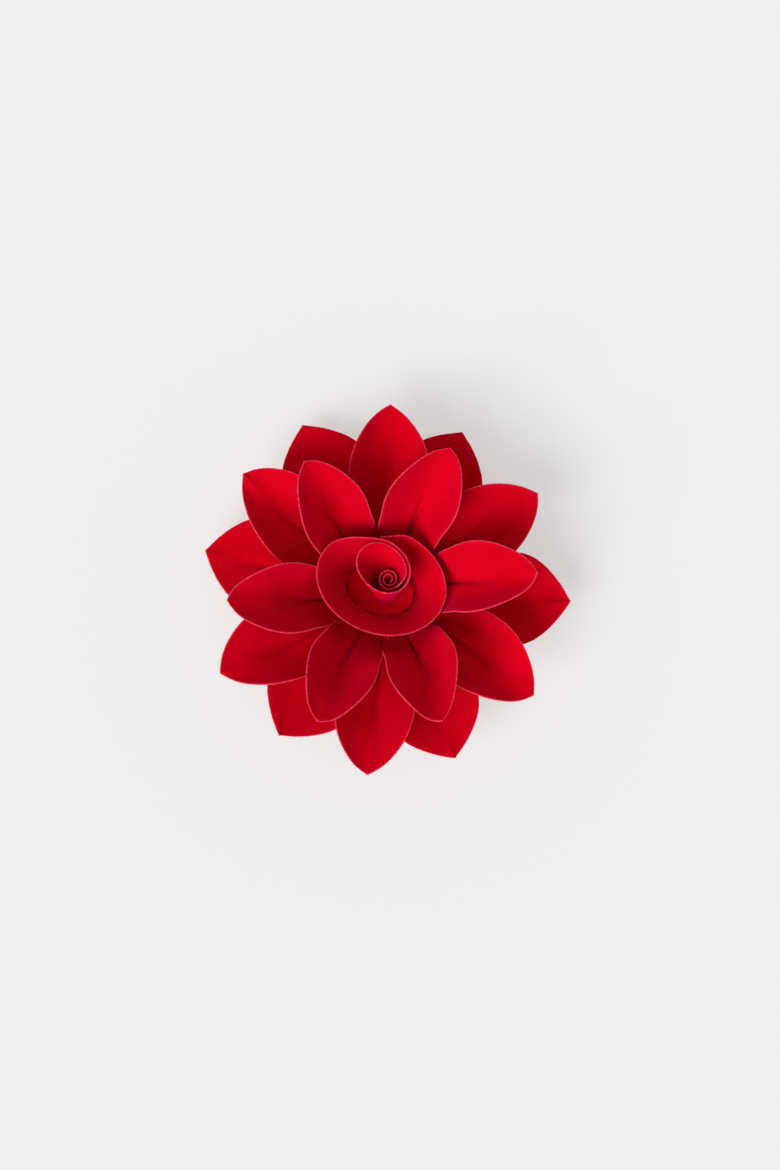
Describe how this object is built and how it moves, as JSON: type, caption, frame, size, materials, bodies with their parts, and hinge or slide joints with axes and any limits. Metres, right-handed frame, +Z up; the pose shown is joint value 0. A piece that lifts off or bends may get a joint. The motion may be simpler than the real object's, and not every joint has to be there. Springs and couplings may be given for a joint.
{
  "type": "flower hair clip",
  "caption": "Layered red fabric flower with a rolled rose in the middle, on a felt disc and a sprung alligator clip.",
  "frame": {"origin": "middle of the flower, on the flat underside of the lower jaw", "axes": "+Z up, away from the surface that the lower jaw rests on; +Y along the clip to its nose; +X to the right"},
  "size_m": [0.1104, 0.1111, 0.0409],
  "materials": {
    "petal_fabric": "matte fine weave, raw cut edges",
    "rose_fabric": "matte fine weave, raw cut edges",
    "felt": "felt",
    "steel": "plain nickel-plated steel",
    "spring_steel": "bright spring wire"
  },
  "bodies": {
    "root": {"upper_jaw": "steel", "hinge_pin": "steel", "torsion_spring": "spring_steel", "felt_backing": "felt", "lower_petal_1": "petal_fabric", "lower_petal_2": "petal_fabric", "lower_petal_3": "petal_fabric", "lower_petal_4": "petal_fabric", "lower_petal_5": "petal_fabric", "lower_petal_6": "petal_fabric", "middle_petal_1": "petal_fabric", "middle_petal_2": "petal_fabric", "middle_petal_3": "petal_fabric", "middle_petal_4": "petal_fabric", "middle_petal_5": "petal_fabric", "middle_petal_6": "petal_fabric", "upper_petal_1": "petal_fabric", "upper_petal_2": "petal_fabric", "upper_petal_3": "petal_fabric", "upper_petal_4": "petal_fabric", "upper_petal_5": "petal_fabric", "upper_petal_6": "petal_fabric", "rose_floor": "rose_fabric", "collar": "rose_fabric", "bud": "rose_fabric"},
    "lower_lever": {"lower_jaw": "steel"}
  },
  "joints": [
    {"name": "jaw_hinge", "type": "hinge", "parent": "root", "child": "lower_lever", "pos_m": [0, -0.02, 0.003], "axis": [-1, 0, 0], "range_deg": [0, 22], "stiffness_Nm_per_rad": 0.09, "springref_deg": -25.21, "deforming": ["torsion_spring"]}
  ]
}
